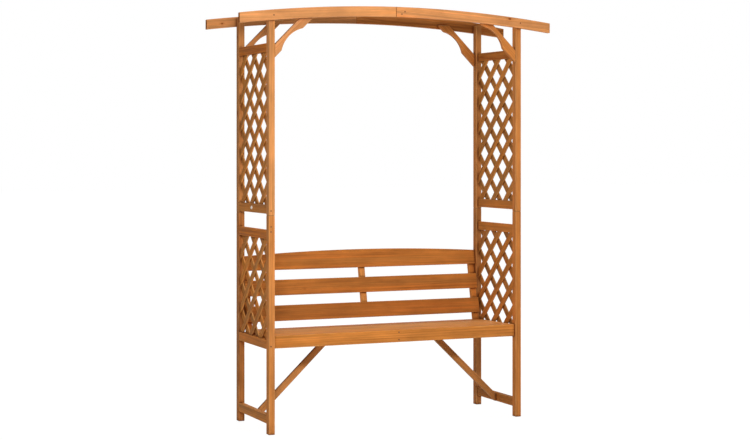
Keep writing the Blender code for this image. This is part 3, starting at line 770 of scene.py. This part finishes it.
def mark_faces(bm, turn, node, bores):
    """Say of each face: rubbed arris, end grain, bare wood in a bore, or a brace's top darkened as
    painted shade.
    """
    arris = bm.faces.layers.float.new("arris")
    end_grain_and_shade = bm.faces.layers.float.new("end_grain_and_shade")
    bare = bm.faces.layers.float.new("bare_wood")
    for face in bm.faces:
        normal = face.normal
        longest = max(edge.calc_length() for edge in face.edges)
        narrow = face.calc_area() / longest < NARROW_FACE
        ends = abs((turn @ normal).x) > END_FACING
        bored = any(in_bore(face, point, out) for point, out in bores)
        lap_seam = "_beam_" in node and narrow and at_lap_seam(face)
        # Painted shade: a brace's faces that turn up and outwards lie in shade and get the end grain's
        # dark stain
        brace_shaded_face = "_brace_" in node and min(normal.z, abs(normal.x)) > BRACE_SHADED_FACING
        thirsty_or_shaded = (ends or brace_shaded_face) and not narrow and not bored
        face[arris] = float(narrow and not ends and not bored and not lap_seam)
        face[end_grain_and_shade] = float(lap_seam or thirsty_or_shaded)
        face[bare] = float(bored)


def soften_edges(bm, width):
    """Round the convex edges a little further."""
    edges = [edge for edge in bm.edges if len(edge.link_faces) == 2
             and edge.calc_face_angle_signed() > CONVEX_EDGE]
    bevel_edges(bm, edges, width)


def cut_stations(bm, turn, spacing):
    """Cut the board across the grain at even stations, so that it can wander between them."""
    along = Vector(turn[0])
    reaches = [along.dot(vert.co) for vert in bm.verts]
    low, high = min(reaches), max(reaches)
    count = max(1, round((high - low) / spacing))
    for step in range(1, count):
        station = low + (high - low) * step / count
        bmesh.ops.bisect_plane(bm, geom=bm.verts[:] + bm.edges[:] + bm.faces[:], dist=SAME_POINT,
                               plane_co=along * station, plane_no=along)


def edge_is_lap_end(edge):
    """An upright edge of a beam's outer face, where the other half meets it near the crown."""
    first, last = (vert.co for vert in edge.verts)
    near_crown = max(abs(first.x), abs(last.x)) < LAP_REACH
    on_outer_face = min(abs(first.y), abs(last.y)) > BEAM_FACE - LAP_LEAST_DEPTH
    return near_crown and on_outer_face and abs(first.z - last.z) > LAP_LEAST_HEIGHT


def settle(bm, drop):
    """Turn a beam half about the crown, so that its outer end drops."""
    reach = max(bm.verts, key=lambda vert: abs(vert.co.x)).co.x
    turn = Matrix.Rotation(drop / reach, 3, "Y")
    bmesh.ops.rotate(bm, cent=(0, 0, CROWN), matrix=turn, verts=bm.verts)


def fill_top(bm, rise):
    """Cut a beam half a little fuller at its top edge where it passes its post."""
    for vert in bm.verts:
        away = abs(vert.co.x)
        top = CROWN - BEAM_RADIUS + math.sqrt(BEAM_RADIUS ** 2 - away ** 2)
        if vert.co.z > top - TOP_EDGE_BAND:
            vert.co.z += rise * smooth_step(away, *FULLER_BEGINS) * (1 - smooth_step(away, *FULLER_ENDS))


def wander(bm, turn, luck, amount):
    """Move the board's sides a fraction of a millimetre, as planed stock is never dead true."""
    along = Vector(turn[0])
    seed = Vector((luck.uniform(0, 90), luck.uniform(0, 90), luck.uniform(0, 90)))
    for vert in bm.verts:
        drift = noise.noise_vector(vert.co * WANDER_REACH + seed) * amount
        vert.co += drift - along * drift.dot(along)


def finish_piece(name, bm, finish, nodes):
    """Turn a mesh into a shown piece that rides on the bench and stands for its CAD nodes."""
    piece = placed_mesh(name, bm)
    piece.data.shade_smooth()
    piece.data.materials.append(FINISHES[finish])
    even = piece.modifiers.new("even_faces", "WEIGHTED_NORMAL")
    even.mode = "FACE_AREA"
    even.weight = EVEN_FACES_WEIGHT
    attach(piece, "root")
    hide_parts(*nodes)
    return piece


def finished_board(node, finish, grain, face):
    """A copy of a CAD board with rounder edges, a little wander and its own grain."""
    luck = random.Random(OTHER_STOCK.get(node, node))
    turn = grain_frame(grain, face)
    bm = bmesh.new()
    bm.from_mesh(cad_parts[node].data)
    bmesh.ops.remove_doubles(bm, verts=bm.verts, dist=SLIVER)
    bmesh.ops.dissolve_limit(bm, angle_limit=SAME_PLANE, verts=bm.verts, edges=bm.edges,
                             use_dissolve_boundaries=False)
    if node in SETTLED_ENDS:
        settle(bm, SETTLED_ENDS[node])
    if node in FULLER_TOPS:
        fill_top(bm, FULLER_TOPS[node])
    lap_edges = [edge for edge in bm.edges if "_beam_" in node and edge_is_lap_end(edge)]
    if lap_edges:
        bevel_edges(bm, lap_edges, LAP_EASING, segments=1)
    soften_edges(bm, SOFTENED_EDGE)
    bores = SCREWS.get(node, ())
    if bores:
        bm = cut_away(bm, bore_cutters(bores))
    cut_stations(bm, turn, STATION_SPACING)
    bmesh.ops.dissolve_degenerate(bm, dist=SLIVER, edges=bm.edges)
    wander(bm, turn, luck, WANDER)
    mark_points(bm, turn, luck, node)
    mark_faces(bm, turn, node, bores)
    return finish_piece(f"finished_{node}", bm, finish, [node])


def finish_boards():
    """Every board but the lattices and dowels: its finish, the way of its grain and its face."""
    upright, sideways, rearward = (0, 0, 1), (1, 0, 0), (0, 1, 0)
    leaning = (0, math.sin(BACK_LEAN), math.cos(BACK_LEAN))
    for end in ("front", "rear"):
        for side, out in SIDES:
            for length in ("lower", "upper"):
                finished_board(f"{length}_post_{end}_{side}", "posts", upright, rearward)
            sloping = (1, 0, -out * BEAM_GRAIN_SLOPE)
            finished_board(f"{end}_beam_{side}_half", "beams", sloping, rearward)
            finished_board(f"{end}_corner_brace_{side}", "beams", (-out, 0, 1), rearward)
    run, rise = LEG_BRACE_GRAIN
    for side, out in SIDES:
        for rail in ("side_stretcher", "seat_rail", "lower_trellis_top_rail",
                     "upper_trellis_bottom_rail", "upper_trellis_top_rail"):
            finished_board(f"{rail}_{side}", "side_rails", rearward, sideways)
        finished_board(f"leg_brace_{side}", "braces", (-out * run, 0, rise), rearward)
    for index in range(1, 5):
        finished_board(f"seat_slat_{index}", "seat", sideways, upright)
    for apron in ("front_apron", "rear_apron"):
        finished_board(apron, "seat", sideways, rearward)
    for place in ("left_end", "left_middle", "centre", "right_middle", "right_end"):
        finished_board(f"seat_bearer_{place}", "side_rails", rearward, sideways)
    for slat in ("bottom", "middle", "top"):
        finished_board(f"back_slat_{slat}", "back", sideways, leaning)
    for stile in ("left", "centre", "right"):
        finished_board(f"back_stile_{stile}", "back", leaning, rearward)


def finish_dowels():
    """The bare dowels across the post seams."""
    for end in ("front", "rear"):
        for side, _ in SIDES:
            finished_board(f"post_dowel_{end}_{side}", "dowels", (0, 0, 1), (0, 1, 0))


# Lattice panels
def lattice_slat(middle, rise, bottom, top, low_x, high_x):
    """One slat at 45 degrees through a point of the panel, cut off at the panel's edges."""
    bm = bmesh.new()
    bmesh.ops.create_cube(bm, size=1)
    length = 2 * (top - bottom)
    size = Matrix.Diagonal((high_x - low_x, length, SLAT_WIDTH, 1))
    slant = Matrix.Rotation(rise * SLAT_SLANT, 4, "X")
    place = Matrix.Translation(((low_x + high_x) / 2, middle[0], middle[1]))
    bmesh.ops.transform(bm, matrix=place @ slant @ size, verts=bm.verts)
    cuts = (((0, -LATTICE_HALF_DEPTH, 0), (0, -1, 0)), ((0, LATTICE_HALF_DEPTH, 0), (0, 1, 0)),
            ((0, 0, bottom), (0, 0, -1)), ((0, 0, top), (0, 0, 1)))
    for point, normal in cuts:
        cut = bmesh.ops.bisect_plane(bm, geom=bm.verts[:] + bm.edges[:] + bm.faces[:],
                                     dist=SLAT_SAME_POINT, plane_co=point, plane_no=normal,
                                     clear_outer=True)
        rim = [item for item in cut["geom_cut"] if isinstance(item, bmesh.types.BMEdge)]
        if rim:
            bmesh.ops.edgeloop_fill(bm, edges=rim)
    return bm


def slat_lines(level, out):
    """For each layer of a panel: its slats' rise, the way across them, and each middle line's offset."""
    bottom, top = LATTICE_SPANS[level]
    crossing = Vector((0, out * LATTICE_SETBACK, bottom + OPENING_RISES[level] + SLAT_PITCH / 2))
    corners = [Vector((0, y, z)) for y in (-LATTICE_HALF_DEPTH, LATTICE_HALF_DEPTH)
               for z in (bottom, top)]
    lines = {}
    for layer, rise in (("outer", 1), ("inner", -1)):
        across = Vector((0, -rise, 1)).normalized()
        spacing = SLAT_PITCH * across.z
        start = across.dot(crossing)
        reaches = [(across.dot(corner) - start) / spacing for corner in corners]
        steps = range(math.floor(min(reaches)), math.ceil(max(reaches)) + 1)
        lines[layer] = rise, across, {index: start + index * spacing for index in steps}
    return lines


def place_panel(bm, out):
    """Bring a panel made round the origin, its outer layer towards +X, to its side of the bench."""
    if out < 0:
        half_turn = Matrix.Rotation(math.pi, 3, "Z")
        bmesh.ops.rotate(bm, cent=(0, 0, 0), matrix=half_turn, verts=bm.verts)
    bmesh.ops.translate(bm, vec=(out * LATTICE_MIDDLE, 0, 0), verts=bm.verts)


def finish_slat(slat, turn, luck, tone_name):
    """Give a slat its soft edges, wander, grain and rubbed sawn sides."""
    bmesh.ops.recalc_face_normals(slat, faces=slat.faces[:])
    soften_edges(slat, SLAT_EDGE)
    cut_stations(slat, turn, STATION_SPACING)
    bmesh.ops.dissolve_degenerate(slat, dist=SLIVER, edges=slat.edges)
    wander(slat, turn, luck, WANDER / 2)
    mark_points(slat, turn, luck, tone_name)
    mark_faces(slat, turn, tone_name, ())
    rubbed = slat.faces.layers.float["arris"]
    for face in slat.faces:
        if face[rubbed] == 0 and abs(face.normal.x) < SAWN_SIDE_FACING:
            face[rubbed] = SAWN_SIDES


def lattice_panel(level, side, out):
    """Both layers of slats, each slat with its own grain, joined in one piece."""
    bottom, top = LATTICE_SPANS[level]
    node = f"{level}_lattice_{side}"
    centre = Vector((0, 0, (bottom + top) / 2))
    panel = bmesh.new()
    for layer, (rise, across, offsets) in slat_lines(level, out).items():
        low_x, high_x = (0, SLAT_THICKNESS) if layer == "outer" else (-SLAT_THICKNESS, 0)
        along = Vector((0, 1, rise)).normalized()
        turn = grain_frame(along, (1, 0, 0))
        for index, offset in offsets.items():
            through = centre + across * (offset - across.dot(centre))
            slat = lattice_slat((through.y, through.z), rise, bottom, top, low_x, high_x)
            spans = [along.dot(vert.co) for vert in slat.verts]
            cut_to_nothing = len(spans) < SLAT_FEWEST_POINTS
            if cut_to_nothing or max(spans) - min(spans) <= SLAT_SHORTEST + SLAT_WIDTH:
                slat.free()
                continue
            luck = random.Random(f"{node} {layer} {index}")
            finish_slat(slat, turn, luck, f"{layer}_layer_{side}")
            add_copy(panel, slat)
    place_panel(panel, out)
    return finish_piece(f"finished_{node}", panel, "lattice", [node])


def lattice_pin():
    """A small domed pin head, looking along +X."""
    pin = bmesh.new()
    made = bmesh.ops.create_cone(pin, cap_ends=True, segments=LATTICE_PIN_STEPS,
                                 radius1=LATTICE_PIN_RADIUS, radius2=LATTICE_PIN_RADIUS,
                                 depth=3 * LATTICE_PIN_PROUD)
    bmesh.ops.translate(pin, vec=(0, 0, -LATTICE_PIN_PROUD / 2), verts=made["verts"])
    rim = [edge for edge in pin.edges if all(vert.co.z > 0 for vert in edge.verts)]
    bevel_edges(pin, rim, LATTICE_PIN_PROUD)
    quarter_turn = Matrix.Rotation(math.pi / 2, 3, "Y")
    bmesh.ops.rotate(pin, cent=(0, 0, 0), matrix=quarter_turn, verts=pin.verts)
    return pin


def lattice_pins():
    """A pin through every crossing that lies well inside its panel."""
    luck = random.Random("lattice pins")
    pins = bmesh.new()
    widest = LATTICE_HALF_DEPTH - LATTICE_PIN_INSET
    for level, (bottom, top) in LATTICE_SPANS.items():
        lowest, highest = bottom + LATTICE_PIN_INSET, top - LATTICE_PIN_INSET
        for _, out in SIDES:
            panel = bmesh.new()
            (_, across, offsets), (_, other_across, other_offsets) = slat_lines(level, out).values()
            for offset in offsets.values():
                for other_offset in other_offsets.values():
                    point = across * offset + other_across * other_offset
                    if abs(point.y) < widest and lowest < point.z < highest:
                        pin = lattice_pin()
                        slip_y = luck.uniform(-LATTICE_PIN_SLIP, LATTICE_PIN_SLIP)
                        slip_z = luck.uniform(-LATTICE_PIN_SLIP, LATTICE_PIN_SLIP)
                        point += Vector((SLAT_THICKNESS, slip_y, slip_z))
                        bmesh.ops.translate(pin, vec=point, verts=pin.verts)
                        add_copy(panel, pin)
            place_panel(panel, out)
            add_copy(pins, panel)
    small_piece("lattice_pins", pins, BROWNED_SCREW)


finish_boards()
screws()
rail_cap()
for level in LATTICE_SPANS:
    for side, out in SIDES:
        lattice_panel(level, side, out)
lattice_pins()
finish_dowels()

# Studio: white floor that keeps a faint shadow, and soft lamps
WHITE = (1, 1, 1, 1)
FLOOR_PAINT = (0.72, 0.71, 0.70, 1)
SHADOW_PAINT = (0.10, 0.10, 0.10, 1)
FLOOR_SIZE = 40
FLOOR_DROP = 0.0005
AIR_LIGHT = 0.09

# The lamps: name, place, what it is turned to, its two sizes, its power, and whether shine shows it
LAMPS = (
    ("front_softbox", (0.65, -3.1, 2.04), (0, 0, 1.7), (0.9, 0.3), 26, True),
    ("left_front_softbox", (-1.8, -3.1, 2.04), (0, 0, 1.6), (0.8, 0.3), 56, True),
    ("low_front_softbox", (-0.9, -3.6, 0.45), (0, 0, 0.3), (1.6, 0.3), 10, True),
    ("left_softbox", (-4.5, -1.0, 1.4), (0, 0, 1.2), (1.4, 1.4), 8, True),
    ("overhead_softbox", (0.0, 1.1, 4.2), (0, 0, 0.4), (2.4, 1.0), 48, True),
    ("rear_softbox", (1.5, 4.0, 2.2), (0, 0, 1.1), (2.2, 2.0), 70, False),
    ("right_softbox", (4.2, -0.3, 1.8), (0, 0, 1.1), (1.6, 1.6), 50, False),
)

# The photo's size and horizon in pixels, and the camera that was fitted to it
PHOTO_WIDTH = 750
PHOTO_HEIGHT = 440
HORIZON_ROW = 145.01
FOCAL_PIXELS = 1662.53
SENSOR_WIDTH = 36
CAMERA_PLACE = (-3.3026, -7.4627, 1.3416)
CAMERA_TURN = math.radians(-23.71)


def floor_paint():
    """White where it is seen directly, with a faint shadow, and plain paint to all other rays."""
    material, n, plain = new_material("studio_floor_paint")
    nodes = material.node_tree.nodes
    nodes.remove(plain)
    paint = n.feed(n.add("ShaderNodeBsdfDiffuse"), {"Color": FLOOR_PAINT})
    thin_paint = n.feed(n.add("ShaderNodeBsdfDiffuse"), {"Color": SHADOW_PAINT})
    away = n.vector("LENGTH", n.add("ShaderNodeTexCoord").outputs["Object"])
    strength = n.ramp(away, 1.0, 6.0, 0.955, 1.0)
    glow = n.feed(n.add("ShaderNodeEmission"), {"Color": WHITE, "Strength": strength})
    seen = n.feed(n.add("ShaderNodeAddShader"), {0: thin_paint.outputs[0], 1: glow.outputs[0]})
    chosen = n.feed(n.add("ShaderNodeMixShader"), {0: n.seen_directly(), 1: paint.outputs[0],
                                                   2: seen.outputs[0]})
    n.feed(nodes["Material Output"], {"Surface": chosen.outputs[0]})
    return material


def studio_floor():
    """A floor just under the bench, for the looks alone."""
    bm = bmesh.new()
    bmesh.ops.create_grid(bm, x_segments=2, y_segments=2, size=FLOOR_SIZE)
    bmesh.ops.translate(bm, vec=(0, 0, -FLOOR_DROP), verts=bm.verts)
    floor = placed_mesh("studio_floor", bm)
    floor.data.materials.append(floor_paint())


def studio_air():
    """White behind the bench, which lights it only faintly."""
    world = bpy.data.worlds.new("studio_air")
    bpy.context.scene.world = world
    world.use_nodes = True
    n = Nodes(world.node_tree)
    strength = n.ramp(n.seen_directly(), 0.0, 1.0, AIR_LIGHT, 1.0, smooth=False)
    n.feed(world.node_tree.nodes["Background"], {"Color": WHITE, "Strength": strength})


def softbox(name, place, target, size, power, mirrored):
    """A rectangular lamp at a place, turned to a target."""
    lamp = bpy.data.lights.new(name, "AREA")
    lamp.shape = "RECTANGLE"
    lamp.size, lamp.size_y = size
    lamp.energy = power
    item = placed(name, lamp)
    item.location = place
    item.rotation_euler = (Vector(target) - Vector(place)).to_track_quat("-Z", "Y").to_euler()
    item.visible_glossy = mirrored


def camera():
    """The photo's own camera, level and shifted so that its uprights stay upright."""
    lens = bpy.data.cameras.new("photo_camera")
    lens.sensor_fit = "HORIZONTAL"
    lens.sensor_width = SENSOR_WIDTH
    lens.lens = FOCAL_PIXELS / PHOTO_WIDTH * SENSOR_WIDTH
    lens.shift_y = -(PHOTO_HEIGHT / 2 - HORIZON_ROW) / PHOTO_WIDTH
    lens.clip_end = 100
    item = placed("photo_camera", lens)
    item.location = CAMERA_PLACE
    item.rotation_euler = (math.pi / 2, 0, CAMERA_TURN)
    bpy.context.scene.camera = item


studio_floor()
studio_air()
for lamp in LAMPS:
    softbox(*lamp)
camera()
bpy.context.scene.view_settings.view_transform = "Standard"
